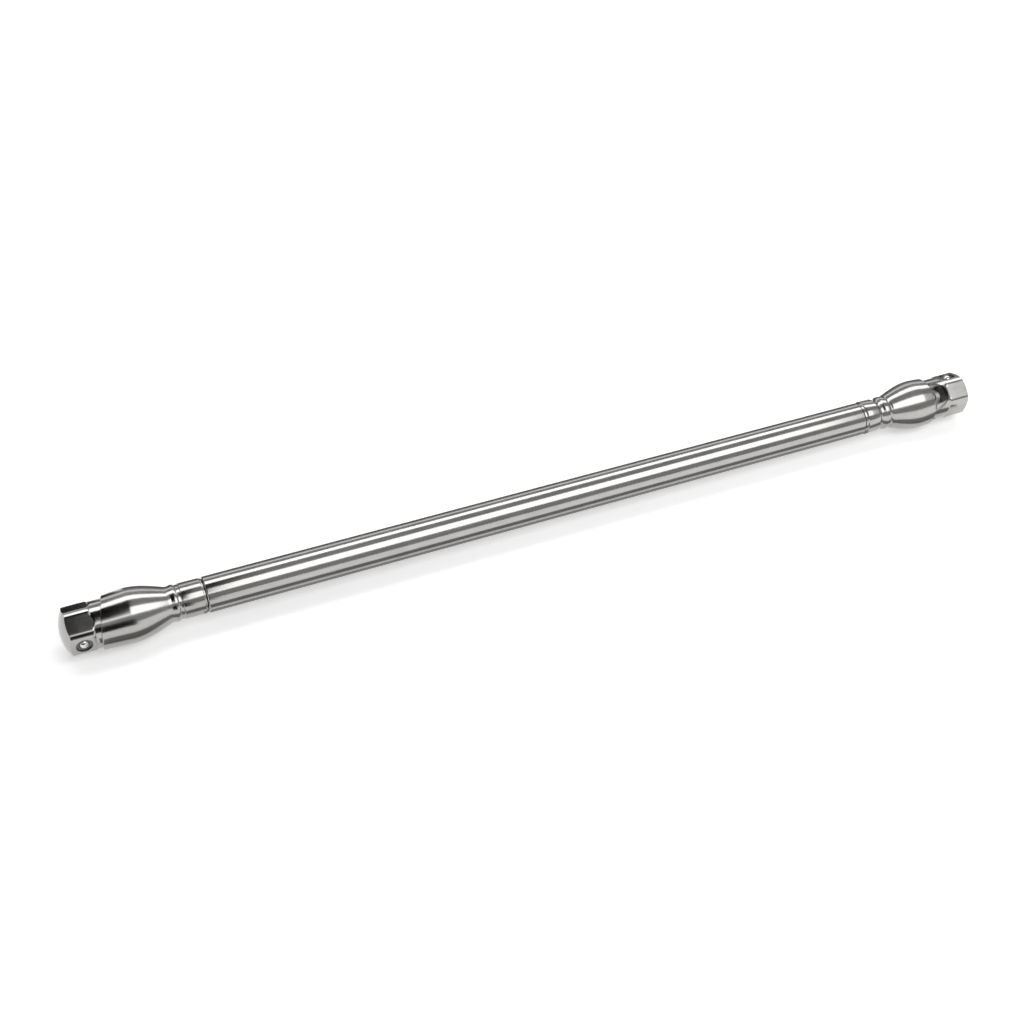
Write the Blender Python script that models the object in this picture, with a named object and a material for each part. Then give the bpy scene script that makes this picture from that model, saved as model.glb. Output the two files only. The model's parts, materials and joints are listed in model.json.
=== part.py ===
"""A round steel bar that carries a flexing hexagon drive at each end.

The bar lies along X with +Z up, and the origin is at the middle of its box.
Each end is modelled in its own frame, whose x runs outward from the tube's end face on the bar's axis.
A universal joint joins each drive to a sliding stem. The left stem is pushed home, which locks the
joint inside its housing. The right stem is pulled out, which frees it.
"""

import math

import bmesh
import bpy
from mathutils import Matrix, Vector

MM = 0.001

# The bar
TUBE_HALF_LENGTH = 220.7 * MM
TUBE_RADIUS = 10.65 * MM
TUBE_BORE_RADIUS = 7.9 * MM
TUBE_EDGE = 0.4 * MM
FIT_GAP = 0.3 * MM                # between pieces that touch in the real tool

# The housings, as distances from the tube's end face
SPIGOT_LENGTH = 25.0 * MM
HOUSING_TRAVEL = 6.5 * MM         # how far a stem slides between locked and free
LEFT_RIM = 57.0 * MM
LEFT_RIM_WALL = 1.15 * MM         # at the rim, round the drive's arms
RIGHT_RIM_WALL = 1.7 * MM
BULB_START = 21.5 * MM
BULB_START_RADIUS = 10.9 * MM
BULB_WIDEST = 43.5 * MM
BULB_WALL = 2.05 * MM             # at the widest place, round the drive's arms
MOUTH_DEPTH = 15.0 * MM
STEM_BORE_DEPTH = 26.8 * MM
TAIL_BORE_DEPTH = 52.0 * MM
MOUTH_GAP = 0.35 * MM
DOWEL_RADIUS = 1.5 * MM
DOWEL_FROM_BACK = 9.0 * MM        # from the spigot's inner end
DOWEL_SUNK = 0.35 * MM
DOWEL_ANGLE = math.radians(220)   # up from -Y, seen from the right

# Neck outlines: distance from the tube's end face and radius, both in millimetres
LEFT_NECK = (
    (0.3, 10.2), (1.0, 10.2), (1.4, 10.5), (13.3, 10.5), (13.6, 10.1), (15.6, 10.1),
    (16.1, 10.6), (16.8, 10.85), (17.5, 10.9), (18.2, 10.85), (18.9, 10.6), (19.3, 10.5), (20.4, 10.5),
)
RIGHT_NECK = (
    (0.3, 10.2), (1.5, 10.2), (2.0, 10.8), (11.3, 10.8), (11.8, 9.5), (15.5, 9.5),
    (15.9, 10.4), (16.2, 10.6), (19.6, 10.6), (19.9, 10.4), (20.7, 10.4),
)

# The stem, measured from the universal joint's centre
JOINT_CENTRE = 53.5 * MM          # from the tube's end face, at both ends as they stand
STEM_RADIUS = 9.3 * MM
STEM_BACK = 23.0 * MM
FORK_BOTTOM = 11.0 * MM
TAIL_RADIUS = 4.1 * MM
TAIL_LENGTH = 38.5 * MM
NUT_RADIUS = 5.9 * MM
NUT_LENGTH = 4.0 * MM
NUT_FRONT = 55.3 * MM
EAR_INSIDE = 5.1 * MM
EAR_HALF_HEIGHT = 4.7 * MM
EAR_TIP_RADIUS = 5.9 * MM
RING_PLACE = 17.5 * MM
RING_RADIUS = 8.5 * MM
RING_WIRE_RADIUS = 0.75 * MM
RING_GROOVE_RADIUS = 7.4 * MM
RING_SPLIT = math.radians(14)

# The joint's block and pins
BLOCK_HALF = 4.7 * MM
BLOCK_REACH = 9.2 * MM
PIN_RADIUS = 2.6 * MM
EAR_PIN_HALF = 8.8 * MM
ARM_PIN_REACH = 12.9 * MM

# The drive, measured from the joint's centre
ARM_RADIUS = 13.6 * MM
ARM_BACK = 5.5 * MM
ARM_SLOT_HALF = 9.6 * MM
HEX_START = 10.5 * MM
HEX_TURNED_RADIUS = 14.1 * MM
HEX_ACROSS_FLATS = 26.0 * MM
HEX_REAR_CHAMFER = 0.6 * MM
DRIVE_REACH = 28.5 * MM
CROWN_HEIGHT = 4.3 * MM

# The ball catch, measured along its own line from the bar's axis
BALL_PLACE = 17.5 * MM
BALL_RADIUS = 3.0 * MM
BALL_PROUD = 0.8 * MM
BALL_BORE_FLOOR = 2.2 * MM
SEAT_RADIUS = 4.8 * MM
SEAT_DEPTH = 1.2 * MM
SEAT_RING_BORE = 2.9 * MM
SEAT_RING_HEIGHT = 0.6 * MM
SEAT_RING_SUNK = 0.1 * MM
SPRING_RADIUS = 2.3 * MM
SPRING_WIRE_RADIUS = 0.4 * MM
SPRING_FOOT = 3.6 * MM
SPRING_TURNS = 3

# Rolls about the bar, up from -Y and seen from the right
LEFT_ROLL = math.radians(110)     # the direction of the ear pin
RIGHT_ROLL = math.radians(45)
LEFT_BALL_TURN = math.radians(120)   # from the ear pin to the ball's flat, in the end's own frame
RIGHT_BALL_TURN = math.radians(60)

ROUND_STEPS = 32
PIN_STEPS = 16
WIRE_SIDES = 6
COIL_STEPS = 10
RING_STEPS = 20
CURVE_STEPS = 8
TIP_STEPS = 6
CROWN_STEPS = 4
OVERSHOOT = 3.0 * MM              # how far a cutter passes the face it opens
WIDE = 20.0 * MM                  # wider than any piece
SHARP_ANGLE = math.radians(28)

# Sizes that follow from those above
SPIGOT_RADIUS = TUBE_BORE_RADIUS - FIT_GAP
DOWEL_PLACE = SPIGOT_LENGTH - DOWEL_FROM_BACK
RIGHT_RIM = LEFT_RIM - HOUSING_TRAVEL
MOUTH_RADIUS = ARM_RADIUS + MOUTH_GAP
LEFT_RIM_RADIUS = MOUTH_RADIUS + LEFT_RIM_WALL
RIGHT_RIM_RADIUS = MOUTH_RADIUS + RIGHT_RIM_WALL
BULB_RADIUS = MOUTH_RADIUS + BULB_WALL
STEM_BORE_RADIUS = STEM_RADIUS + FIT_GAP
TAIL_BORE_RADIUS = TAIL_RADIUS + FIT_GAP
CHAMBER_RADIUS = NUT_RADIUS + FIT_GAP
HOLE_RADIUS = PIN_RADIUS + FIT_GAP
HEX_APOTHEM = HEX_ACROSS_FLATS / 2
CROWN_RADIUS = (HEX_TURNED_RADIUS**2 + CROWN_HEIGHT**2) / (2 * CROWN_HEIGHT)
BALL_CENTRE = HEX_APOTHEM + BALL_PROUD - BALL_RADIUS


def clear_scene():
    for obj in list(bpy.data.objects):
        bpy.data.objects.remove(obj)


def steel(name, shade, roughness):
    material = bpy.data.materials.new(name)
    material.use_nodes = True
    shader = material.node_tree.nodes["Principled BSDF"]
    shader.inputs["Base Color"].default_value = (shade, shade, shade, 1)
    shader.inputs["Metallic"].default_value = 1
    shader.inputs["Roughness"].default_value = roughness
    return material


def link(name, data, parent):
    obj = bpy.data.objects.new(name, data)
    bpy.context.scene.collection.objects.link(obj)
    obj.parent = parent
    return obj


def mesh_object(name, bm, parent):
    bmesh.ops.recalc_face_normals(bm, faces=bm.faces)
    mesh = bpy.data.meshes.new(name)
    bm.to_mesh(mesh)
    bm.free()
    mesh.shade_smooth()
    mesh.set_sharp_from_angle(angle=SHARP_ANGLE)
    return link(name, mesh, parent)


def piece(name, bm, parent, shade=0.6, roughness=0.25):
    """A named sub-part with a steel of its own."""
    obj = mesh_object(name, bm, parent)
    obj.data.materials.append(steel(name, shade, roughness))
    return obj


def shape_with(target, operation, name, bm, parent=None):
    """Cuts or trims a piece by a hidden body in the frame given, or in the piece's own."""
    other = mesh_object(name, bm, parent or target.parent)
    other.hide_render = True
    other.display_type = "WIRE"
    modifier = target.modifiers.new(name, "BOOLEAN")
    modifier.operation = operation
    modifier.object = other
    modifier.solver = "EXACT"


def direction_at(angle):
    """The direction square to x that stands at an angle up from -Y."""
    return Vector((0, -math.cos(angle), math.sin(angle)))


def line_frame(name, parent, location, direction):
    """An empty whose x runs along a direction, for round pieces that lie on that line."""
    frame = link(name, None, parent)
    frame.location = location
    frame.rotation_euler = Vector((1, 0, 0)).rotation_difference(direction).to_euler()
    return frame


def turned(profile, steps, closed=False):
    """A body turned about x from (x, radius) points."""
    bm = bmesh.new()
    rows = []
    for x, radius in profile:
        if radius == 0:
            rows.append([bm.verts.new((x, 0, 0))])
            continue
        row = []
        for step in range(steps):
            angle = 2 * math.pi * step / steps
            row.append(bm.verts.new((x, radius * math.cos(angle), radius * math.sin(angle))))
        rows.append(row)
    pairs = list(zip(rows, rows[1:]))
    if closed:
        pairs.append((rows[-1], rows[0]))
    for first, second in pairs:
        for step in range(steps):
            after = (step + 1) % steps
            corners = [first[step % len(first)], first[after % len(first)]]
            corners += [second[after % len(second)], second[step % len(second)]]
            bm.faces.new(list(dict.fromkeys(corners)))
    return bm


def globe(centre, radius):
    """(x, radius) points of a ball on the x axis."""
    steps = PIN_STEPS // 2
    points = [(centre - radius, 0)]
    for step in range(1, steps):
        angle = math.pi * step / steps
        points.append((centre - radius * math.cos(angle), radius * math.sin(angle)))
    points.append((centre + radius, 0))
    return points


def rod(start, end, radius, steps, edge=0.0):
    """A cylinder along x, with chamfered ends if an edge is given."""
    if edge == 0:
        return turned([(start, 0), (start, radius), (end, radius), (end, 0)], steps)
    return turned(
        [
            (start, 0), (start, radius - edge), (start + edge, radius),
            (end - edge, radius), (end, radius - edge), (end, 0),
        ],
        steps,
    )


def box_between(low, high):
    bm = bmesh.new()
    bmesh.ops.create_cube(bm, size=1)
    low, high = Vector(low), Vector(high)
    scale = Matrix.Diagonal((*(high - low), 1))
    bm.transform(Matrix.Translation((low + high) / 2) @ scale)
    return bm


def prism(outline, half_width):
    """A body with an (x, z) outline, running along y."""
    bm = bmesh.new()
    near = [bm.verts.new((x, -half_width, z)) for x, z in outline]
    far = [bm.verts.new((x, half_width, z)) for x, z in outline]
    bm.faces.new(near)
    bm.faces.new(far)
    for index in range(len(outline)):
        after = (index + 1) % len(outline)
        bm.faces.new((near[index], near[after], far[after], far[index]))
    return bm


def arc(radius, half_angle, steps):
    """(x, z) points round the origin, from below to above, bulging towards +x."""
    points = []
    for step in range(steps + 1):
        angle = half_angle * (2 * step / steps - 1)
        points.append((radius * math.cos(angle), radius * math.sin(angle)))
    return points


def swept_wire(places, wire_radius):
    """Round wire through (centre, outward, sideways) places, with flat ends."""
    bm = bmesh.new()
    rings = []
    for centre, outward, sideways in places:
        ring = []
        for corner in range(WIRE_SIDES):
            angle = 2 * math.pi * corner / WIRE_SIDES
            offset = outward * math.cos(angle) + sideways * math.sin(angle)
            ring.append(bm.verts.new(centre + offset * wire_radius))
        rings.append(ring)
    for first, second in zip(rings, rings[1:]):
        for corner in range(WIRE_SIDES):
            after = (corner + 1) % WIRE_SIDES
            bm.faces.new((first[corner], first[after], second[after], second[corner]))
    bm.faces.new(rings[0])
    bm.faces.new(rings[-1])
    bmesh.ops.triangulate(bm, faces=bm.faces)
    return bm


def coil(start, end, radius, wire_radius, turns):
    """A compression spring along x, between two places that its wire doesn't pass."""
    steps = turns * COIL_STEPS
    first = start + wire_radius
    pitch = (end - start - 2 * wire_radius) / steps
    places = []
    for step in range(steps + 1):
        angle = 2 * math.pi * step / COIL_STEPS
        outward = Vector((0, math.cos(angle), math.sin(angle)))
        centre = outward * radius + Vector((first + pitch * step, 0, 0))
        places.append((centre, outward, Vector((1, 0, 0))))
    return swept_wire(places, wire_radius)


def split_ring(x):
    places = []
    for step in range(RING_STEPS + 1):
        angle = RING_SPLIT + (2 * math.pi - 2 * RING_SPLIT) * step / RING_STEPS
        outward = Vector((0, math.cos(angle), math.sin(angle)))
        places.append((outward * RING_RADIUS + Vector((x, 0, 0)), outward, Vector((1, 0, 0))))
    return swept_wire(places, RING_WIRE_RADIUS)


def make_tube(middle):
    half = TUBE_HALF_LENGTH
    profile = [
        (-half, TUBE_BORE_RADIUS), (-half, TUBE_RADIUS - TUBE_EDGE), (-half + TUBE_EDGE, TUBE_RADIUS),
        (half - TUBE_EDGE, TUBE_RADIUS), (half, TUBE_RADIUS - TUBE_EDGE), (half, TUBE_BORE_RADIUS),
    ]
    return piece("handle_tube", turned(profile, ROUND_STEPS, closed=True), middle)


def housing_profile(neck, rim, rim_radius):
    """The outside from the spigot to the rim, then the stepped bore back again."""
    points = [(-SPIGOT_LENGTH, SPIGOT_RADIUS), (FIT_GAP, SPIGOT_RADIUS)]
    points += [(x * MM, radius * MM) for x, radius in neck]
    for step in range(CURVE_STEPS + 1):
        share = step / CURVE_STEPS
        x = BULB_START + (BULB_WIDEST - BULB_START) * share
        rise = (BULB_RADIUS - BULB_START_RADIUS) * math.sin(share * math.pi / 2)
        points.append((x, BULB_START_RADIUS + rise))
    mouth = rim - MOUTH_DEPTH
    floor = rim - STEM_BORE_DEPTH
    shoulder = rim - TAIL_BORE_DEPTH
    points += [
        (rim - FIT_GAP, rim_radius), (rim, rim_radius - FIT_GAP), (rim, MOUTH_RADIUS + FIT_GAP),
        (rim - FIT_GAP, MOUTH_RADIUS), (mouth, MOUTH_RADIUS), (mouth, STEM_BORE_RADIUS),
        (floor, STEM_BORE_RADIUS), (floor, TAIL_BORE_RADIUS), (shoulder, TAIL_BORE_RADIUS),
        (shoulder, CHAMBER_RADIUS), (-SPIGOT_LENGTH, CHAMBER_RADIUS),
    ]
    return points


def make_housing(side, end, tube, neck, rim, rim_radius, dowel_angle):
    """The housing and the blind dowel that holds its spigot in the tube."""
    profile = housing_profile(neck, rim, rim_radius)
    housing = piece(f"{side}_housing", turned(profile, ROUND_STEPS, closed=True), end)
    line = line_frame(f"{side}_dowel_line", end, (-DOWEL_PLACE, 0, 0), direction_at(dowel_angle))
    inner = CHAMBER_RADIUS + FIT_GAP
    outer = TUBE_RADIUS - DOWEL_SUNK
    piece(f"{side}_housing_pin", rod(inner, outer, DOWEL_RADIUS, PIN_STEPS), line, 0.5, 0.35)
    for target, name in ((housing, "housing"), (tube, "tube")):
        hole = rod(CHAMBER_RADIUS / 2, TUBE_RADIUS + OVERSHOOT, DOWEL_RADIUS + FIT_GAP, PIN_STEPS)
        shape_with(target, "DIFFERENCE", f"{side}_dowel_hole_{name}", hole, line)


def make_stem(side, joint, ear_line):
    """The stem with its two ears, the snap ring that holds its place, and the nut on its tail."""
    groove = RING_WIRE_RADIUS + FIT_GAP
    tail_end = -STEM_BACK - TAIL_LENGTH
    profile = [
        (tail_end, 0), (tail_end, TAIL_RADIUS - FIT_GAP), (tail_end + FIT_GAP, TAIL_RADIUS),
        (-STEM_BACK, TAIL_RADIUS), (-STEM_BACK, STEM_RADIUS - FIT_GAP),
        (-STEM_BACK + FIT_GAP, STEM_RADIUS), (-RING_PLACE - groove, STEM_RADIUS),
        (-RING_PLACE - groove, RING_GROOVE_RADIUS), (-RING_PLACE + groove, RING_GROOVE_RADIUS),
        (-RING_PLACE + groove, STEM_RADIUS), (EAR_TIP_RADIUS + FIT_GAP, STEM_RADIUS),
        (EAR_TIP_RADIUS + FIT_GAP, 0),
    ]
    stem = piece(f"{side}_stem", turned(profile, ROUND_STEPS), joint, 0.62, 0.22)
    tip = arc(EAR_TIP_RADIUS, math.asin(EAR_HALF_HEIGHT / EAR_TIP_RADIUS), TIP_STEPS)
    outline = [(tail_end - OVERSHOOT, -WIDE), (-FORK_BOTTOM, -WIDE), (-FORK_BOTTOM, -EAR_HALF_HEIGHT)]
    outline += tip
    outline += [(-FORK_BOTTOM, EAR_HALF_HEIGHT), (-FORK_BOTTOM, WIDE), (tail_end - OVERSHOOT, WIDE)]
    shape_with(stem, "INTERSECT", f"{side}_ear_outline", prism(outline, WIDE))
    slot = box_between((-FORK_BOTTOM, -EAR_INSIDE, -WIDE), (EAR_TIP_RADIUS + OVERSHOOT, EAR_INSIDE, WIDE))
    shape_with(stem, "DIFFERENCE", f"{side}_fork_slot", slot)
    hole = rod(-WIDE, WIDE, HOLE_RADIUS, PIN_STEPS)
    shape_with(stem, "DIFFERENCE", f"{side}_ear_hole", hole, ear_line)
    piece(f"{side}_lock_ring", split_ring(-RING_PLACE), joint, 0.4, 0.35)
    bore = TAIL_RADIUS + FIT_GAP
    nut = [
        (-NUT_FRONT - NUT_LENGTH, bore), (-NUT_FRONT - NUT_LENGTH, NUT_RADIUS - FIT_GAP),
        (-NUT_FRONT - NUT_LENGTH + FIT_GAP, NUT_RADIUS), (-NUT_FRONT, NUT_RADIUS), (-NUT_FRONT, bore),
    ]
    piece(f"{side}_stem_nut", turned(nut, PIN_STEPS, closed=True), joint, 0.5, 0.35)


def make_cross(side, joint, ear_line, arm_line):
    """The joint's block, the long pin through the ears and the two short pins into the arms."""
    body = box_between((-BLOCK_HALF, -BLOCK_HALF, -BLOCK_REACH), (BLOCK_HALF, BLOCK_HALF, BLOCK_REACH))
    block = piece(f"{side}_block", body, joint, 0.62, 0.22)
    shape_with(block, "INTERSECT", f"{side}_block_round", turned(globe(0, BLOCK_REACH), ROUND_STEPS))
    for line, name in ((ear_line, "ear"), (arm_line, "arm")):
        hole = rod(-WIDE, WIDE, HOLE_RADIUS, PIN_STEPS)
        shape_with(block, "DIFFERENCE", f"{side}_block_{name}_hole", hole, line)
    pin = rod(-EAR_PIN_HALF, EAR_PIN_HALF, PIN_RADIUS, PIN_STEPS, FIT_GAP)
    piece(f"{side}_ear_pin", pin, ear_line)
    inner = HOLE_RADIUS + FIT_GAP
    for name, sign in (("upper", 1), ("lower", -1)):
        start, end = sorted((sign * inner, sign * ARM_PIN_REACH))
        piece(f"{side}_arm_pin_{name}", rod(start, end, PIN_RADIUS, PIN_STEPS, FIT_GAP), arm_line)


def drive_profile():
    """A round tail about the joint's centre, the arms, the turned hexagon and its crown."""
    points = [(-ARM_BACK, 0)]
    back = math.asin(ARM_BACK / ARM_RADIUS)
    for step in range(TIP_STEPS // 2 + 1):
        angle = back * (1 - 2 * step / TIP_STEPS)
        points.append((-ARM_RADIUS * math.sin(angle), ARM_RADIUS * math.cos(angle)))
    half = HEX_REAR_CHAMFER / 2
    points += [(HEX_START - half, ARM_RADIUS), (HEX_START + half, HEX_TURNED_RADIUS)]
    crown = math.asin(HEX_TURNED_RADIUS / CROWN_RADIUS)
    for step in range(CROWN_STEPS + 1):
        angle = crown * (1 - step / CROWN_STEPS)
        x = DRIVE_REACH - CROWN_RADIUS * (1 - math.cos(angle))
        points.append((x, CROWN_RADIUS * math.sin(angle)))
    points[-1] = (DRIVE_REACH, 0)
    return points


def make_drive(side, joint, arm_line):
    drive = piece(f"{side}_drive", turned(drive_profile(), ROUND_STEPS), joint, 0.62, 0.22)
    for index in range(6):
        flat = box_between((HEX_START, -WIDE, -WIDE), (DRIVE_REACH + OVERSHOOT, -HEX_APOTHEM, WIDE))
        flat.transform(Matrix.Rotation(index * math.pi / 3, 4, "X"))
        shape_with(drive, "DIFFERENCE", f"{side}_flat_{index}", flat)
    outline = [(-ARM_BACK - OVERSHOOT, -ARM_SLOT_HALF)]
    outline += arc(ARM_SLOT_HALF, math.pi / 2, 2 * TIP_STEPS)
    outline += [(-ARM_BACK - OVERSHOOT, ARM_SLOT_HALF)]
    shape_with(drive, "DIFFERENCE", f"{side}_arm_slot", prism(outline, WIDE))
    hole = rod(-WIDE, WIDE, HOLE_RADIUS, PIN_STEPS)
    shape_with(drive, "DIFFERENCE", f"{side}_arm_hole", hole, arm_line)
    return drive


def make_ball_catch(side, joint, drive, turn):
    """The ball, its spring and the ring that keeps it in, along one line out of the bar's axis."""
    line = line_frame(f"{side}_ball_line", joint, (BALL_PLACE, 0, 0), direction_at(turn))
    top = HEX_APOTHEM + OVERSHOOT
    bore = rod(BALL_BORE_FLOOR, top, BALL_RADIUS + FIT_GAP, PIN_STEPS)
    shape_with(drive, "DIFFERENCE", f"{side}_ball_bore", bore, line)
    seat = rod(HEX_APOTHEM - SEAT_DEPTH, top, SEAT_RADIUS, PIN_STEPS)
    shape_with(drive, "DIFFERENCE", f"{side}_ball_seat", seat, line)
    high = HEX_APOTHEM - SEAT_RING_SUNK
    low = high - SEAT_RING_HEIGHT
    outer = SEAT_RADIUS - FIT_GAP
    ring = [(low, SEAT_RING_BORE), (low, outer), (high, outer), (high, SEAT_RING_BORE)]
    piece(f"{side}_ball_ring", turned(ring, PIN_STEPS, closed=True), line, 0.55, 0.3)
    ball = turned(globe(BALL_CENTRE, BALL_RADIUS), PIN_STEPS)
    piece(f"{side}_ball", ball, line, 0.8, 0.08)
    spring_top = BALL_CENTRE - BALL_RADIUS - FIT_GAP
    spring = coil(SPRING_FOOT, spring_top, SPRING_RADIUS, SPRING_WIRE_RADIUS, SPRING_TURNS)
    piece(f"{side}_ball_spring", spring, line, 0.4, 0.35)


def make_end(side, end, tube, neck, rim, rim_radius, roll, ball_turn, dowel_angle):
    make_housing(side, end, tube, neck, rim, rim_radius, dowel_angle)
    joint = link(f"{side}_joint_centre", None, end)
    joint.location = (JOINT_CENTRE, 0, 0)
    joint.rotation_euler = (-roll, 0, 0)
    ear_line = line_frame(f"{side}_ear_line", joint, (0, 0, 0), Vector((0, 1, 0)))
    arm_line = line_frame(f"{side}_arm_line", joint, (0, 0, 0), Vector((0, 0, 1)))
    make_stem(side, joint, ear_line)
    make_cross(side, joint, ear_line, arm_line)
    drive = make_drive(side, joint, arm_line)
    make_ball_catch(side, joint, drive, ball_turn)


def main():
    clear_scene()
    tube = make_tube(link("bar_middle", None, None))
    left = link("left_end", None, None)
    left.location = (-TUBE_HALF_LENGTH, 0, 0)
    left.rotation_euler = (0, 0, math.pi)
    right = link("right_end", None, None)
    right.location = (TUBE_HALF_LENGTH, 0, 0)
    make_end("left", left, tube, LEFT_NECK, LEFT_RIM, LEFT_RIM_RADIUS,
             math.pi - LEFT_ROLL, LEFT_BALL_TURN, math.pi - DOWEL_ANGLE)
    make_end("right", right, tube, RIGHT_NECK, RIGHT_RIM, RIGHT_RIM_RADIUS,
             RIGHT_ROLL, RIGHT_BALL_TURN, DOWEL_ANGLE)


main()
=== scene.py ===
"""Looks for a steel breaker bar.

A plain round handle carries a bulb-shaped housing and a hexagon drive at each end.
"""

import json
import math

import bmesh
import bpy
from mathutils import Matrix, Vector


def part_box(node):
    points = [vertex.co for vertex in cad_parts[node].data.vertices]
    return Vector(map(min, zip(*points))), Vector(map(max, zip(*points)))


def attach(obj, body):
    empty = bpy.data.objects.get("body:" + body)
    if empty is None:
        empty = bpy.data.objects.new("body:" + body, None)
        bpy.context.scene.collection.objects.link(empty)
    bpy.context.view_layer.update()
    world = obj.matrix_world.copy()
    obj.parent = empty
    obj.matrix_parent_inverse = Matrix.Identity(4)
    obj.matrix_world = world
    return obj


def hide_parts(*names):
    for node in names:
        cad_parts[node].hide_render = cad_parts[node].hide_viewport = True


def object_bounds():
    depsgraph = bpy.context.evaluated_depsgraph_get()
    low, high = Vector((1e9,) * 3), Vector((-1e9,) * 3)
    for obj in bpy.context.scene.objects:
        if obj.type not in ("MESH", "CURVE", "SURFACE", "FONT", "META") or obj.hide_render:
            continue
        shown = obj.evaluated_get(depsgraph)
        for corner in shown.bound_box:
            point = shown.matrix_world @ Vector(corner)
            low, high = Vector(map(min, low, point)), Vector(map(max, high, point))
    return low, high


MM = 0.001

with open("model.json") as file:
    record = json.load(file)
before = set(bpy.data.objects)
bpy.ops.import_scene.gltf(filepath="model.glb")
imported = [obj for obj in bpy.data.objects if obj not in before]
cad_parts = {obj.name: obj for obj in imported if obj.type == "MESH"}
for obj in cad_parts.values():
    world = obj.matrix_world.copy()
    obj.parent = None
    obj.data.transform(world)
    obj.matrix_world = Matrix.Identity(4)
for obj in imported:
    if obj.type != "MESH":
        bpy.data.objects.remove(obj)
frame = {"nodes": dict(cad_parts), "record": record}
cad_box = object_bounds()


# ---------------------------------------------------------------- sizes that the solids give

def box_of(node):
    low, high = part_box(node)
    return Vector(low), Vector(high)


def joint_place(name):
    for joint in frame["record"]["behaviour"]["joints"]:
        if joint["name"] == name:
            return Vector(joint["pos_m"])
    raise ValueError(name)


TUBE_LOW, TUBE_HIGH = box_of("handle_tube")
TUBE_RADIUS = TUBE_HIGH.z
RIGHT_CENTRE = joint_place("right_bend").x
LEFT_CENTRE = (box_of("left_block")[0].x + box_of("left_block")[1].x) / 2
BULB_RADIUS = box_of("left_housing")[1].z
DRIVE_REACH = box_of("right_drive")[1].x - RIGHT_CENTRE
LEFT_RIM = TUBE_LOW.x - box_of("left_housing")[0].x
RIGHT_RIM = box_of("right_housing")[1].x - TUBE_HIGH.x

# Sizes that the solids have too, with places measured from a tube end or from a joint's centre
TUBE_BORE = 7.9 * MM
GAP = 0.3 * MM
SPIGOT = 25.0 * MM
BULB_START = 21.5 * MM
BULB_START_RADIUS = 10.9 * MM
BULB_WIDEST = 43.5 * MM
LEFT_RIM_RADIUS = 15.1 * MM
RIGHT_RIM_RADIUS = 15.65 * MM
MOUTH_RADIUS = 13.95 * MM
MOUTH_DEPTH = 15.0 * MM
STEM_BORE = 9.6 * MM
STEM_BORE_DEPTH = 26.8 * MM
TAIL_BORE = 4.4 * MM
TAIL_BORE_DEPTH = 52.0 * MM
CHAMBER = 6.2 * MM
LEFT_NECK = (
    (0.3, 10.2), (1.0, 10.2), (1.4, 10.5), (13.3, 10.5), (13.6, 10.1), (15.6, 10.1),
    (16.1, 10.6), (16.8, 10.85), (17.5, 10.9), (18.2, 10.85), (18.9, 10.6), (19.3, 10.5), (20.4, 10.5),
)
STEM_RADIUS = 9.3 * MM
STEM_BACK = 23.0 * MM
FORK_BOTTOM = 11.0 * MM
TAIL_RADIUS = 4.1 * MM
TAIL_END = 61.5 * MM
EAR_INSIDE = 5.1 * MM
EAR_HALF_HEIGHT = 4.7 * MM
EAR_TIP = 5.9 * MM
RING_PLACE = 17.5 * MM
RING_GROOVE_HALF = 1.05 * MM
RING_GROOVE_RADIUS = 7.4 * MM
BLOCK_HALF = 4.7 * MM
BLOCK_REACH = 9.2 * MM
PIN_RADIUS = 2.6 * MM
PIN_HOLE = 2.9 * MM
EAR_PIN_HALF = 8.8 * MM
ARM_PIN_START = 3.2 * MM
ARM_PIN_REACH = 12.9 * MM
ARM_RADIUS = 13.6 * MM
ARM_BACK = 5.5 * MM
ARM_SLOT_HALF = 9.6 * MM
HEX_START = 10.5 * MM
HEX_TURNED = 14.1 * MM
HEX_APOTHEM = 13.0 * MM
CROWN_HEIGHT = 4.3 * MM
BALL_PLACE = 17.5 * MM
BALL_RADIUS = 3.0 * MM
BALL_CENTRE = 10.8 * MM
BALL_BORE_FLOOR = 2.2 * MM
SEAT_RADIUS = 4.8 * MM
SEAT_DEPTH = 1.2 * MM
SEAT_RING_BORE = 2.9 * MM
LEFT_ROLL = math.radians(110)
RIGHT_ROLL = math.radians(45)
LEFT_BALL_TURN = math.radians(120)
RIGHT_BALL_TURN = math.radians(60)

# Shapes that the looks alone have, where the solids are plainer
TUBE_EDGE = 0.9 * MM           # a wider break at the tube's ends
RIGHT_NECK = (                 # a hollow groove in place of a square one
    (0.3, 9.8), (1.6, 9.8), (2.3, 10.8), (10.2, 10.8), (10.9, 10.6), (11.6, 10.0), (12.4, 9.55),
    (13.3, 9.4), (14.2, 9.5), (15.0, 9.85), (15.7, 10.45), (16.3, 10.75), (17.6, 10.8), (18.8, 10.75),
    (19.5, 10.45), (20.7, 10.3),
)
RIM_SLANT = 3.4 * MM           # how far the left rim leans, each way from its middle
RIM_SLANT_OUT = 0.8 * MM       # how far its middle stands out
RIM_SLANT_FROM = 13.0 * MM     # only the wall outside this radius leans
RIM_SLANT_LINE = math.radians(-15)
LEFT_SKIN_START = 2.0 * MM     # where the left drive's skin closes over its slot
LEFT_SKIN_INSIDE = 10.2 * MM   # how far each way the slot reaches under the skin
SEAT_RING_LOW = 11.8 * MM      # a thin ring on the floor of the ball's seat
SEAT_RING_HIGH = 12.1 * MM
REAR_BLEND = 1.3 * MM          # how far behind the hexagon its flats run out
REAR_SLOPE = 0.6
REAR_CLEAR = 0.3 * MM          # between the arms' rows and the blend's, if the blend grows
REAR_FOOT = 0.1 * MM
HEX_SHOULDER = ((0.0, 0.45), (0.25, 0.15))   # along and inward, in millimetres
HEX_LEAD = 0.5 * MM
HEX_SHORT = 0.8 * MM
FLAT_BLEND = 0.4 * MM          # how softly a flat meets the turned outside

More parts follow.
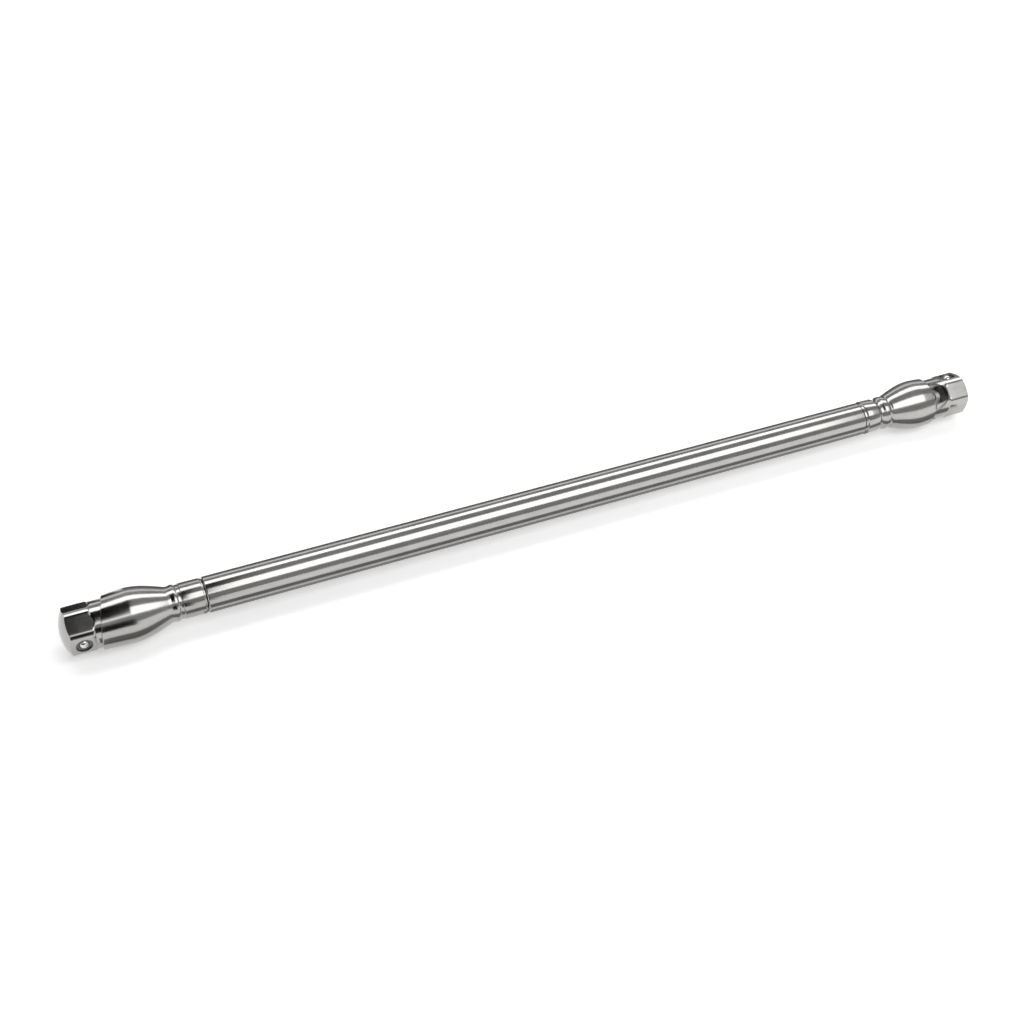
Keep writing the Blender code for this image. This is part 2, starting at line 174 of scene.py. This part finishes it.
# How far edges are broken
EDGE = 0.3 * MM
STEM_EDGE = 0.25 * MM
BLOCK_EDGE = 0.3 * MM
DRIVE_EDGE = 0.35 * MM
SEAT_RING_EDGE = 0.15 * MM
BEVEL_SEGMENTS = 2
BEVEL_ANGLE = math.radians(40)
SMOOTH_ANGLE = math.radians(32)
CORNER_ANGLE = math.radians(20)   # an outline's corner is rounded when it turns by more than this
CORNER_SHARE = 0.45               # of a short side, at most

# How finely curves are drawn
FINE = 128
PIN_FINE = 48
BALL_FINE = 64
CROSS_FINE = 96
HEX_FINE = 288
CORNER_STEPS = 4
BULB_STEPS = 40
BALL_STEPS = 40
CROSS_STEPS = 48
EAR_STEPS = 24
SLOT_STEPS = 64
TAIL_STEPS = 10
ARM_STEPS = 6
FLAT_STEPS = 20
CROWN_STEPS = 60

TINY = 1e-9
WIDE = 20.0 * MM               # wider than any piece
OVER = 3.0 * MM                # how far a cutter passes the face that it opens

# Steel patterns
RAMP_LOW, RAMP_HIGH = 0.35, 0.65
CLOUD = 14.0 * MM
BUMP_STRENGTH = 0.35

# Floor, room and camera, with lengths in metres where nothing else is said
PAPER_LIFT = 0.36
PAPER_LIFT_FAR = 0.95
FADE_FROM, FADE_TO = 0.6, 2.6
FLOOR_HALF = 6.0
FLOOR_GAP = 0.1 * MM
CARD_GAP = 0.05 * MM           # from the bulbs' underside down to a lying card
WALL_HEIGHT = 0.55
ROOM_LIGHT = 0.36
CAMERA_AZIMUTH = math.radians(-24.08)
CAMERA_ELEVATION = math.radians(37.1)
CAMERA_AIM = -28.8 * MM
CAMERA_DISTANCE = 970.2        # in millimetres
CAMERA_LENS = 56.1             # in millimetres, as the camera takes it, and so is the sensor
CAMERA_SENSOR = 36.0
CAMERA_CLIP = 0.01


# ---------------------------------------------------------------- steels

def linear(hex_colour):
    """A colour written as sRGB hex, as the linear values that a shader takes."""
    values = [int(hex_colour[place:place + 2], 16) / 255 for place in (1, 3, 5)]
    return tuple(v / 12.92 if v <= 0.04045 else ((v + 0.055) / 1.055) ** 2.4 for v in values) + (1.0,)


def add_node(tree, kind, settings=None, **links):
    """Adds a node, sets its properties and sockets, and links its inputs.

    A linked socket's name is written with _ for each space.
    """
    node = tree.nodes.new(kind)
    for key, value in (settings or {}).items():
        if isinstance(key, str) and hasattr(node, key):
            setattr(node, key, value)
        else:
            node.inputs[key].default_value = value
    for name, source in links.items():
        tree.links.new(source, node.inputs[name.replace("_", " ")])
    return node


def ramp(tree, source, low, high, low_colour, high_colour):
    node = add_node(tree, "ShaderNodeValToRGB", Fac=source)
    node.color_ramp.elements[0].position = low
    node.color_ramp.elements[1].position = high
    node.color_ramp.elements[0].color = low_colour
    node.color_ramp.elements[1].color = high_colour
    return node.outputs["Color"]


def new_material(name):
    material = bpy.data.materials.new(name)
    material.use_nodes = True
    return material, material.node_tree, material.node_tree.nodes["Principled BSDF"]


def steel(name, dark, light, rough_low, rough_high, line_width, line_length, depth):
    """Bare steel finished in lines along the bar, with faint clouding left by handling and polishing."""
    material, tree, shader = new_material(name)
    shader.inputs["Metallic"].default_value = 1.0
    place = add_node(tree, "ShaderNodeTexCoord").outputs["Object"]
    along = add_node(
        tree, "ShaderNodeMapping", {"Scale": (1 / line_length, 1 / line_width, 1 / line_width)}, Vector=place
    ).outputs["Vector"]
    lines = add_node(
        tree, "ShaderNodeTexNoise", {"Scale": 1.0, "Detail": 3.0, "Roughness": 0.6}, Vector=along
    ).outputs["Fac"]
    patches = add_node(
        tree, "ShaderNodeTexNoise", {"Scale": 1 / CLOUD, "Detail": 4.0, "Roughness": 0.55}, Vector=place
    ).outputs["Fac"]
    both = add_node(tree, "ShaderNodeMath", {"operation": "MULTIPLY_ADD", 1: 0.5}, Value=lines)
    half = add_node(tree, "ShaderNodeMath", {"operation": "MULTIPLY", 1: 0.5}, Value=patches)
    tree.links.new(half.outputs[0], both.inputs[2])
    colour = ramp(tree, both.outputs[0], RAMP_LOW, RAMP_HIGH, linear(dark), linear(light))
    tree.links.new(colour, shader.inputs["Base Color"])
    low = (rough_low,) * 3 + (1.0,)
    high = (rough_high,) * 3 + (1.0,)
    rough = ramp(tree, both.outputs[0], RAMP_LOW, RAMP_HIGH, low, high)
    tree.links.new(rough, shader.inputs["Roughness"])
    bump = add_node(tree, "ShaderNodeBump", {"Strength": BUMP_STRENGTH, "Distance": depth}, Height=lines)
    tree.links.new(bump.outputs["Normal"], shader.inputs["Normal"])
    return material


# Each steel: dark and light colour, least and most roughness, line width and length, line depth.
# Stainless tube, belt-polished along its length: clear long stripes of light with soft edges.
# Belt marks are about 0.1 mm apart, and are drawn at 0.7 mm so that they show.
TUBE_STEEL = steel(
    "belt_polished_stainless", "#A6A5A3", "#B3B2B0", 0.11, 0.17, 0.7 * MM, 45 * MM, 0.002 * MM,
)
# Turned stainless housings, polished a little less evenly over the curve of the bulb.
HOUSING_STEEL = steel(
    "polished_turned_stainless", "#A3A2A0", "#B2B1AF", 0.13, 0.21, 0.8 * MM, 22 * MM, 0.002 * MM,
)
# Milled and ground tool steel: flats that stay even and grey, with fine grinding marks.
DRIVE_STEEL = steel(
    "ground_tool_steel", "#A3A2A0", "#AFAEAC", 0.12, 0.17, 0.5 * MM, 9 * MM, 0.0004 * MM,
)
# Machined alloy steel inside the joint, left a shade darker and oily.
JOINT_STEEL = steel(
    "machined_alloy_steel", "#8B8A88", "#A5A4A2", 0.26, 0.38, 0.5 * MM, 4 * MM, 0.006 * MM,
)
# Drawn spring wire and plain fasteners with a thin oil film.
SPRING_STEEL = steel(
    "oiled_spring_steel", "#5E5D5C", "#7B7A78", 0.3, 0.45, 0.4 * MM, 3 * MM, 0.004 * MM,
)
# Hardened bearing ball, lapped to a mirror.
BALL_STEEL = steel(
    "lapped_bearing_steel", "#CFCFCE", "#DEDEDD", 0.05, 0.09, 0.6 * MM, 0.6 * MM, 0.0005 * MM,
)


# ---------------------------------------------------------------- shapes

def eased(points, cut, closed=False):
    """Breaks each sharp corner of an outline with a small round."""
    count = len(points)
    result = []
    for index, point in enumerate(points):
        ends = index in (0, count - 1)
        if (ends and not closed) or cut == 0:
            result.append(point)
            continue
        here = Vector(point)
        before = Vector(points[index - 1]) - here
        after = Vector(points[(index + 1) % count]) - here
        flat = before.length < TINY or after.length < TINY
        if flat or math.pi - before.angle(after) < CORNER_ANGLE:
            result.append(point)
            continue
        reach = min(cut, CORNER_SHARE * before.length, CORNER_SHARE * after.length)
        start = here + before.normalized() * reach
        end = here + after.normalized() * reach
        for step in range(CORNER_STEPS + 1):
            t = step / CORNER_STEPS
            place = start * (1 - t) ** 2 + here * 2 * t * (1 - t) + end * t ** 2
            result.append((place.x, place.y))
    return result


def surface_of_rows(rows, closed):
    """Skins rings of points, where a ring of one point is a pole."""
    bm = bmesh.new()
    verts = [[bm.verts.new(point) for point in row] for row in rows]
    pairs = list(zip(verts, verts[1:]))
    if closed:
        pairs.append((verts[-1], verts[0]))
    for first, second in pairs:
        for step in range(max(len(first), len(second))):
            after = step + 1
            corners = [first[step % len(first)], first[after % len(first)]]
            corners += [second[after % len(second)], second[step % len(second)]]
            bm.faces.new(list(dict.fromkeys(corners)))
    bmesh.ops.recalc_face_normals(bm, faces=bm.faces)
    return bm


def turned(profile, steps=FINE, closed=False):
    """A body turned about x from (x, radius) points."""
    rows = []
    for x, radius in profile:
        if radius <= TINY:
            rows.append([(x, 0, 0)])
            continue
        angles = [2 * math.pi * step / steps for step in range(steps)]
        rows.append([(x, radius * math.cos(a), radius * math.sin(a)) for a in angles])
    return surface_of_rows(rows, closed)


def rod(start, end, radius, cut=0.0):
    return turned(eased([(start, 0), (start, radius), (end, radius), (end, 0)], cut), PIN_FINE)


def ball_outline(radius, centre, steps):
    """(x, radius) along half of a ball's outline."""
    angles = [math.pi * step / steps for step in range(steps + 1)]
    return [(centre - radius * math.cos(a), radius * math.sin(a)) for a in angles]


def box_between(low, high):
    bm = bmesh.new()
    bmesh.ops.create_cube(bm, size=1)
    low, high = Vector(low), Vector(high)
    scale = Matrix.Diagonal((*(high - low), 1))
    bm.transform(Matrix.Translation((low + high) / 2) @ scale)
    return bm


def prism(outline, half_width):
    bm = bmesh.new()
    near = [bm.verts.new((x, -half_width, z)) for x, z in outline]
    far = [bm.verts.new((x, half_width, z)) for x, z in outline]
    bm.faces.new(near)
    bm.faces.new(far)
    for index in range(len(outline)):
        after = (index + 1) % len(outline)
        bm.faces.new((near[index], near[after], far[after], far[index]))
    bmesh.ops.recalc_face_normals(bm, faces=bm.faces)
    return bm


def arc(radius, half_angle, steps):
    angles = [half_angle * (2 * step / steps - 1) for step in range(steps + 1)]
    return [(radius * math.cos(a), radius * math.sin(a)) for a in angles]


def direction_at(angle):
    return Vector((0, -math.cos(angle), math.sin(angle)))


def line_matrix(base, location, direction):
    """Where a body turned about x goes when it lies along a direction in a frame."""
    turn = Vector((1, 0, 0)).rotation_difference(direction).to_matrix().to_4x4()
    return base @ Matrix.Translation(location) @ turn


def mesh_object(name, bm, matrix):
    bm.transform(matrix)
    mesh = bpy.data.meshes.new(name)
    bm.to_mesh(mesh)
    bm.free()
    obj = bpy.data.objects.new(name, mesh)
    bpy.context.scene.collection.objects.link(obj)
    return obj


def worked(obj, *cuts):
    """Cuts or trims a piece by each (operation, body, matrix), and keeps the result as its mesh."""
    cutters = []
    for operation, bm, matrix in cuts:
        cutter = mesh_object(obj.name + "_cutter", bm, matrix)
        modifier = obj.modifiers.new("cut", "BOOLEAN")
        modifier.operation = operation
        modifier.solver = "EXACT"
        modifier.object = cutter
        cutters.append(cutter)
    bpy.context.view_layer.update()
    graph = bpy.context.evaluated_depsgraph_get()
    final = bpy.data.meshes.new_from_object(obj.evaluated_get(graph))
    obj.modifiers.clear()
    obj.data = final
    for cutter in cutters:
        bpy.data.objects.remove(cutter)


def finished(obj, material, body, node, break_edges=0.0):
    """Smooths a piece, gives it its steel, and sets it on its body in place of the plain solid."""
    obj.data.materials.clear()
    obj.data.materials.append(material)
    obj.data.shade_smooth()
    obj.data.set_sharp_from_angle(angle=SMOOTH_ANGLE)
    if break_edges:
        bevel = obj.modifiers.new("broken_edges", "BEVEL")
        bevel.width = break_edges
        bevel.segments = BEVEL_SEGMENTS
        bevel.limit_method = "ANGLE"
        bevel.angle_limit = BEVEL_ANGLE
        bevel.use_clamp_overlap = True
        bevel.harden_normals = True
    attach(obj, body)
    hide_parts(node)


# ---------------------------------------------------------------- the bar and its housings

def make_tube():
    profile = [
        (TUBE_LOW.x, TUBE_BORE), (TUBE_LOW.x, TUBE_RADIUS - TUBE_EDGE),
        (TUBE_LOW.x + TUBE_EDGE, TUBE_RADIUS), (TUBE_HIGH.x - TUBE_EDGE, TUBE_RADIUS),
        (TUBE_HIGH.x, TUBE_RADIUS - TUBE_EDGE), (TUBE_HIGH.x, TUBE_BORE),
    ]
    tube = mesh_object("handle", turned(eased(profile, EDGE, True), closed=True), Matrix())
    finished(tube, TUBE_STEEL, "bar", "handle_tube")


def housing_outline(neck, rim, rim_radius):
    points = [(-SPIGOT, TUBE_BORE - GAP), (GAP, TUBE_BORE - GAP)]
    points += [(x * MM, radius * MM) for x, radius in neck]
    for step in range(BULB_STEPS + 1):
        share = step / BULB_STEPS
        x = BULB_START + (BULB_WIDEST - BULB_START) * share
        rise = (BULB_RADIUS - BULB_START_RADIUS) * math.sin(share * math.pi / 2)
        points.append((x, BULB_START_RADIUS + rise))
    mouth, floor, shoulder = rim - MOUTH_DEPTH, rim - STEM_BORE_DEPTH, rim - TAIL_BORE_DEPTH
    points += [
        (rim, rim_radius), (rim, MOUTH_RADIUS), (mouth, MOUTH_RADIUS), (mouth, STEM_BORE),
        (floor, STEM_BORE), (floor, TAIL_BORE), (shoulder, TAIL_BORE), (shoulder, CHAMBER),
        (-SPIGOT, CHAMBER),
    ]
    return eased(points, EDGE, True)


def slant_rim(bm, rim):
    """Leans the left rim: its lower front stands further out than its upper back."""
    for vert in bm.verts:
        share = (vert.co.x - BULB_WIDEST) / (rim - BULB_WIDEST)
        if share > 0 and math.hypot(vert.co.y, vert.co.z) > RIM_SLANT_FROM:
            # The left end is turned half round, so its own y points the other way
            angle = math.atan2(vert.co.z, vert.co.y)
            vert.co.x += share * (RIM_SLANT_OUT + RIM_SLANT * math.cos(angle - RIM_SLANT_LINE))


def make_housing(side, end, neck, rim, rim_radius):
    outline = housing_outline(neck, rim, rim_radius)
    body = turned(outline, closed=True)
    if side == "left":
        slant_rim(body, rim)
    housing = mesh_object(f"{side}_bulb", body, end)
    finished(housing, HOUSING_STEEL, "bar", f"{side}_housing")


# ---------------------------------------------------------------- the universal joints

def make_stem(side, body, joint):
    profile = [
        (-TAIL_END, 0), (-TAIL_END, TAIL_RADIUS), (-STEM_BACK, TAIL_RADIUS), (-STEM_BACK, STEM_RADIUS),
        (-RING_PLACE - RING_GROOVE_HALF, STEM_RADIUS), (-RING_PLACE - RING_GROOVE_HALF, RING_GROOVE_RADIUS),
        (-RING_PLACE + RING_GROOVE_HALF, RING_GROOVE_RADIUS), (-RING_PLACE + RING_GROOVE_HALF, STEM_RADIUS),
        (EAR_TIP + GAP, STEM_RADIUS), (EAR_TIP + GAP, 0),
    ]
    stem = mesh_object(f"{side}_ears", turned(eased(profile, EDGE)), joint)
    outline = [(-TAIL_END - OVER, -WIDE), (-FORK_BOTTOM, -WIDE), (-FORK_BOTTOM, -EAR_HALF_HEIGHT)]
    outline += arc(EAR_TIP, math.asin(EAR_HALF_HEIGHT / EAR_TIP), EAR_STEPS)
    outline += [(-FORK_BOTTOM, EAR_HALF_HEIGHT), (-FORK_BOTTOM, WIDE), (-TAIL_END - OVER, WIDE)]
    slot = box_between((-FORK_BOTTOM, -EAR_INSIDE, -WIDE), (EAR_TIP + OVER, EAR_INSIDE, WIDE))
    across = line_matrix(joint, (0, 0, 0), Vector((0, 1, 0)))
    worked(
        stem, ("INTERSECT", prism(outline, WIDE), joint), ("DIFFERENCE", slot, joint),
        ("DIFFERENCE", rod(-WIDE, WIDE, PIN_HOLE), across),
    )
    finished(stem, JOINT_STEEL, body, f"{side}_stem", STEM_EDGE)


def make_cross(side, ear_body, block_body, joint):
    ear_line = line_matrix(joint, (0, 0, 0), Vector((0, 1, 0)))
    arm_line = line_matrix(joint, (0, 0, 0), Vector((0, 0, 1)))
    low, high = (-BLOCK_HALF, -BLOCK_HALF, -BLOCK_REACH), (BLOCK_HALF, BLOCK_HALF, BLOCK_REACH)
    block = mesh_object(f"{side}_cross", box_between(low, high), joint)
    ball = turned(ball_outline(BLOCK_REACH, 0.0, CROSS_STEPS), CROSS_FINE)
    worked(
        block, ("INTERSECT", ball, joint),
        ("DIFFERENCE", rod(-WIDE, WIDE, PIN_HOLE), ear_line),
        ("DIFFERENCE", rod(-WIDE, WIDE, PIN_HOLE), arm_line),
    )
    finished(block, JOINT_STEEL, block_body, f"{side}_block", BLOCK_EDGE)
    pin = mesh_object(f"{side}_long_pin", rod(-EAR_PIN_HALF, EAR_PIN_HALF, PIN_RADIUS, EDGE), ear_line)
    finished(pin, DRIVE_STEEL, ear_body, f"{side}_ear_pin")
    for name, sign in (("upper", 1), ("lower", -1)):
        start, end = sorted((sign * ARM_PIN_START, sign * ARM_PIN_REACH))
        short = mesh_object(f"{side}_{name}_short_pin", rod(start, end, PIN_RADIUS, EDGE), arm_line)
        finished(short, DRIVE_STEEL, block_body, f"{side}_arm_pin_{name}")


# ---------------------------------------------------------------- the drives

def soft_minimum(a, b, blend):
    """The smaller of two radii, with the edge between them rounded off."""
    share = max(0.0, min(1.0, 0.5 + 0.5 * (b - a) / blend))
    return b + (a - b) * share - blend * share * (1 - share)


def drive_outline():
    """(x, radius) along the turned outside: round tail, arms, hexagon and crowned end."""
    back = math.asin(ARM_BACK / ARM_RADIUS)
    angles = [back * (1 - step / TAIL_STEPS) for step in range(TAIL_STEPS + 1)]
    points = [(-ARM_RADIUS * math.sin(a), ARM_RADIUS * math.cos(a)) for a in angles]
    points += [(HEX_START * step / ARM_STEPS, ARM_RADIUS) for step in range(1, ARM_STEPS)]
    blend_start, blend_length = HEX_START - REAR_BLEND, REAR_BLEND - REAR_FOOT
    points = [point for point in points if point[0] < blend_start - REAR_CLEAR]
    # The blend's rows start one step early
    for step in range(-1, ARM_STEPS + 1):
        points.append((blend_start + blend_length * step / ARM_STEPS, ARM_RADIUS))
    points += [(HEX_START + along * MM, HEX_TURNED - inward * MM) for along, inward in HEX_SHOULDER]
    flat_start = HEX_START + HEX_LEAD
    flat_length = DRIVE_REACH - CROWN_HEIGHT - HEX_START - HEX_SHORT
    points += [(flat_start + flat_length * step / FLAT_STEPS, HEX_TURNED) for step in range(FLAT_STEPS + 1)]
    crown = (HEX_TURNED ** 2 + CROWN_HEIGHT ** 2) / (2 * CROWN_HEIGHT)
    full = math.asin(HEX_TURNED / crown)
    for step in range(CROWN_STEPS):
        angle = full * (1 - step / CROWN_STEPS)
        points.append((DRIVE_REACH - crown * (1 - math.cos(angle)), crown * math.sin(angle)))
    return points


def make_drive_body(name, joint):
    """The hexagon and arms as one skin, whose flats run into the turned corners and the crown."""
    rows = [[(-ARM_BACK, 0, 0)]]
    for x, radius in drive_outline():
        row = []
        for step in range(HEX_FINE):
            angle = 2 * math.pi * step / HEX_FINE
            # Flats face -y and every sixth of a turn from it
            off = (angle + math.pi / 6) % (math.pi / 3) - math.pi / 6
            here = radius
            if x >= HEX_START - REAR_BLEND:
                # The flats run out into the round arms over a short slope
                slope = max(0.0, HEX_START - x) * REAR_SLOPE
                here = soft_minimum(radius, HEX_APOTHEM / math.cos(off) + slope, FLAT_BLEND)
            row.append((x, -here * math.cos(angle), here * math.sin(angle)))
        rows.append(row)
    rows.append([(DRIVE_REACH, 0, 0)])
    return mesh_object(name, surface_of_rows(rows, False), joint)


def make_drive(side, body, joint, turn):
    drive = make_drive_body(f"{side}_hexagon", joint)
    arm_line = line_matrix(joint, (0, 0, 0), Vector((0, 0, 1)))
    ball_line = line_matrix(joint, (BALL_PLACE, 0, 0), direction_at(turn))
    outline = [(-ARM_BACK - OVER, -ARM_SLOT_HALF)] + arc(ARM_SLOT_HALF, math.pi / 2, SLOT_STEPS)
    outline += [(-ARM_BACK - OVER, ARM_SLOT_HALF)]
    top = HEX_APOTHEM + OVER
    seat_floor = HEX_APOTHEM - SEAT_DEPTH
    slots = [("DIFFERENCE", prism(outline, WIDE), joint)]
    if side == "left":
        # The slot is open right through only where the housing hides it
        low, high = (-ARM_BACK - OVER, -WIDE, -ARM_SLOT_HALF), (LEFT_SKIN_START, WIDE, ARM_SLOT_HALF)
        slots = [
            ("DIFFERENCE", prism(outline, LEFT_SKIN_INSIDE), joint),
            ("DIFFERENCE", box_between(low, high), joint),
        ]
    worked(
        drive, *slots,
        ("DIFFERENCE", rod(-WIDE, WIDE, PIN_HOLE), arm_line),
        ("DIFFERENCE", rod(BALL_BORE_FLOOR, top, BALL_RADIUS + GAP), ball_line),
        ("DIFFERENCE", rod(seat_floor, top, SEAT_RADIUS), ball_line),
    )
    finished(drive, DRIVE_STEEL, body, f"{side}_drive", DRIVE_EDGE)
    outer = SEAT_RADIUS - GAP
    ring = [
        (SEAT_RING_LOW, SEAT_RING_BORE), (SEAT_RING_LOW, outer), (SEAT_RING_HIGH, outer),
        (SEAT_RING_HIGH, SEAT_RING_BORE),
    ]
    collar = turned(eased(ring, SEAT_RING_EDGE, True), BALL_FINE, True)
    seat = mesh_object(f"{side}_ball_collar", collar, ball_line)
    finished(seat, SPRING_STEEL, body, f"{side}_ball_ring")
    globe = turned(ball_outline(BALL_RADIUS, BALL_CENTRE, BALL_STEPS), BALL_FINE)
    ball = mesh_object(f"{side}_catch_ball", globe, ball_line)
    finished(ball, BALL_STEEL, f"{side}_ball", f"{side}_ball")


# ---------------------------------------------------------------- setting it all out

def end_matrices(side):
    """The end's own frame at the tube's end face, and the rolled frame at its joint's centre."""
    if side == "left":
        turn = Matrix.Rotation(math.pi, 4, "Z")
        roll = math.pi - LEFT_ROLL
        end = Matrix.Translation((TUBE_LOW.x, 0, 0)) @ turn
        centre = Matrix.Translation((LEFT_CENTRE, 0, 0)) @ turn
    else:
        roll = RIGHT_ROLL
        end = Matrix.Translation((TUBE_HIGH.x, 0, 0))
        centre = Matrix.Translation((RIGHT_CENTRE, 0, 0))
    return end, centre @ Matrix.Rotation(-roll, 4, "X")


make_tube()
left_end, left_joint = end_matrices("left")
right_end, right_joint = end_matrices("right")
make_housing("left", left_end, LEFT_NECK, LEFT_RIM, LEFT_RIM_RADIUS)
make_housing("right", right_end, RIGHT_NECK, RIGHT_RIM, RIGHT_RIM_RADIUS)
make_stem("left", "left_head", left_joint)
make_stem("right", "bar", right_joint)
make_cross("left", "left_head", "left_head", left_joint)
make_cross("right", "bar", "right_block", right_joint)
make_drive("left", "left_head", left_joint, LEFT_BALL_TURN)
make_drive("right", "right_drive", right_joint, RIGHT_BALL_TURN)

for side in ("left", "right"):
    for node in ("housing_pin", "lock_ring", "stem_nut", "ball_spring"):
        carried = frame["nodes"][f"{side}_{node}"]
        carried.data.materials.clear()
        carried.data.materials.append(SPRING_STEEL)


# ---------------------------------------------------------------- floor, lamps and camera

def make_paper():
    """Matt paper that stays white where the camera or the steel sees it, and still takes a shadow."""
    material, tree, shader = new_material("pale_matt_paper")
    shader.inputs["Base Color"].default_value = linear("#FAFAFA")
    shader.inputs["Roughness"].default_value = 0.9
    shader.inputs["Specular IOR Level"].default_value = 0.1
    path = add_node(tree, "ShaderNodeLightPath")
    seen = add_node(tree, "ShaderNodeMath", {"operation": "ADD"}, Value=path.outputs["Is Camera Ray"])
    tree.links.new(path.outputs["Is Glossy Ray"], seen.inputs[1])
    all_seen = add_node(
        tree, "ShaderNodeMath", {"operation": "ADD", "use_clamp": True}, Value=seen.outputs[0]
    )
    tree.links.new(path.outputs["Is Transmission Ray"], all_seen.inputs[1])
    # Far from the tool the lamps fade, so the paper makes up for it there
    place = add_node(tree, "ShaderNodeTexCoord").outputs["Object"]
    away = add_node(tree, "ShaderNodeVectorMath", {"operation": "LENGTH"}, Vector=place)
    fade = add_node(
        tree, "ShaderNodeMapRange",
        {"From Min": FADE_FROM, "From Max": FADE_TO, "To Min": PAPER_LIFT, "To Max": PAPER_LIFT_FAR},
        Value=away.outputs["Value"],
    )
    lift = add_node(tree, "ShaderNodeMath", {"operation": "MULTIPLY"}, Value=all_seen.outputs[0])
    tree.links.new(fade.outputs["Result"], lift.inputs[1])
    shader.inputs["Emission Color"].default_value = (1, 1, 1, 1)
    tree.links.new(lift.outputs[0], shader.inputs["Emission Strength"])
    return material


def make_floor():
    """A pale matt sheet just under the bulbs, with a low wall of it far off on every side."""
    bm = bmesh.new()
    bmesh.ops.create_grid(bm, x_segments=2, y_segments=2, size=FLOOR_HALF)
    up = Vector((0, 0, WALL_HEIGHT))
    for x, y in ((1, 0), (0, 1), (-1, 0), (0, -1)):
        middle, along = Vector((x, y, 0)) * FLOOR_HALF, Vector((-y, x, 0)) * FLOOR_HALF
        first, last = [middle + along * way for way in (-1, 1)]
        bm.faces.new([bm.verts.new(place) for place in (first, last, last + up, first + up)])
    floor = mesh_object("pale_floor", bm, Matrix.Translation((0, 0, cad_box[0].z - FLOOR_GAP)))
    floor.data.materials.append(make_paper())


def make_flag(name, shade, corners, glow=0.0):
    """A dark or grey card near the tool, which only the steel's reflections see; any glow on it is painted
    light in those reflections.
    """
    bm = bmesh.new()
    bm.faces.new([bm.verts.new(corner) for corner in corners])
    card = mesh_object(name, bm, Matrix())
    material, _, shader = new_material(name + "_card")
    shader.inputs["Base Color"].default_value = linear(shade)
    shader.inputs["Roughness"].default_value = 1.0
    shader.inputs["Specular IOR Level"].default_value = 0.0
    shader.inputs["Emission Color"].default_value = (1, 1, 1, 1)
    shader.inputs["Emission Strength"].default_value = glow
    card.data.materials.append(material)
    for kind in ("camera", "diffuse", "transmission", "volume_scatter", "shadow"):
        setattr(card, f"visible_{kind}", False)


def standing_flag(name, shade, distance, x_from, *edges):
    """A card between two angles round the bar, up from -Y, each with its own right-hand end."""
    places = [(direction_at(math.radians(angle)) * distance, x_to) for angle, x_to in edges]
    left = [place + Vector((x_from, 0, 0)) for place, _ in places]
    right = [place + Vector((x_to, 0, 0)) for place, x_to in places]
    make_flag(name, shade, [left[0], right[0], right[1], left[1]])


def lying_flag(name, shade, x_from, x_to, y_from, y_to, glow=0.0):
    """A card that lies just above the floor."""
    height = cad_box[0].z - CARD_GAP
    make_flag(name, shade, [
        Vector((x_from, y_from, height)), Vector((x_to, y_from, height)),
        Vector((x_to, y_to, height)), Vector((x_from, y_to, height)),
    ], glow)


def make_strip(name, angle, distance, x_from, x_to, width, radiance):
    """A long soft box that lies along the bar at an angle round it, up from -Y."""
    lamp = bpy.data.lights.new(name, "AREA")
    lamp.shape = "RECTANGLE"
    lamp.size = x_to - x_from
    lamp.size_y = width
    lamp.energy = radiance * lamp.size * width * math.pi
    strip = bpy.data.objects.new(name, lamp)
    bpy.context.scene.collection.objects.link(strip)
    out = direction_at(math.radians(angle))
    place = out * distance + Vector(((x_from + x_to) / 2, 0, 0))
    across = out.cross(Vector((1, 0, 0)))
    turn = Matrix(((1, 0, out.x), (0, across.y, out.y), (0, across.z, out.z))).to_4x4()
    strip.matrix_world = Matrix.Translation(place) @ turn
    strip.visible_camera = False


def make_world():
    world = bpy.data.worlds.new("soft_room")
    bpy.context.scene.world = world
    world.use_nodes = True
    back = world.node_tree.nodes["Background"]
    back.inputs["Color"].default_value = (1, 1, 1, 1)
    back.inputs["Strength"].default_value = ROOM_LIGHT


def make_camera():
    level = math.cos(CAMERA_ELEVATION)
    back = Vector((
        math.sin(CAMERA_AZIMUTH) * level, -math.cos(CAMERA_AZIMUTH) * level, math.sin(CAMERA_ELEVATION)
    ))
    data = bpy.data.cameras.new("camera")
    data.lens = CAMERA_LENS
    data.sensor_width = CAMERA_SENSOR
    data.clip_start = CAMERA_CLIP
    camera = bpy.data.objects.new("camera", data)
    bpy.context.scene.collection.objects.link(camera)
    camera.location = Vector((CAMERA_AIM, 0, 0)) + back * CAMERA_DISTANCE * MM
    camera.rotation_mode = "QUATERNION"
    camera.rotation_quaternion = (-back).to_track_quat("-Z", "Y")
    bpy.context.scene.camera = camera


make_floor()
make_world()
# Each lamp: angle up from -Y, distance, where it starts and ends along the bar, width, radiance
make_strip("high_strip", 113, 0.9, -0.6, 1.25, 0.3, 2.6)
make_strip("front_strip", 54, 1.35, -0.15, 1.19, 0.8, 2.35)
make_strip("right_front_strip", 54, 1.35, 1.2, 1.8, 0.8, 0.55)
make_strip("left_front_strip", 42, 1.35, -0.9, -0.17, 0.2, 1.5)
make_strip("back_strip", 150, 1.1, -0.9, 1.4, 0.25, 0.9)
# Each standing card: shade, distance, where it starts, then two edges as (angle, where it ends)
standing_flag("left_upper_flag", "#0E0E0E", 0.8, -1.2, (54, -0.19), (101, -0.13))
standing_flag("left_lower_flag", "#0E0E0E", 0.28, -1.0, (-3.2, -0.2), (22, -0.22))
standing_flag("left_back_flag", "#0A0A0A", 0.25, -1.0, (162, -0.26), (183.5, -0.26))
standing_flag("back_flag", "#5C5C5C", 0.12, -0.256, (167, 0.9), (187.4, 0.9))
# Each lying card: shade, its two ends along the bar, its two edges across it, and any glow, which is painted
# light
lying_flag("floor_flag", "#909090", -0.284, 0.302, -0.038, -0.019)
# The low card lies in the bar's shadow and glows faintly: painted light that lifts the steel's reflection of
# the floor under the bar.
lying_flag("low_flag", "#606060", -0.222, 0.23, -0.0125, 0.012, 0.33)
make_camera()
bpy.context.scene.view_settings.view_transform = "Standard"
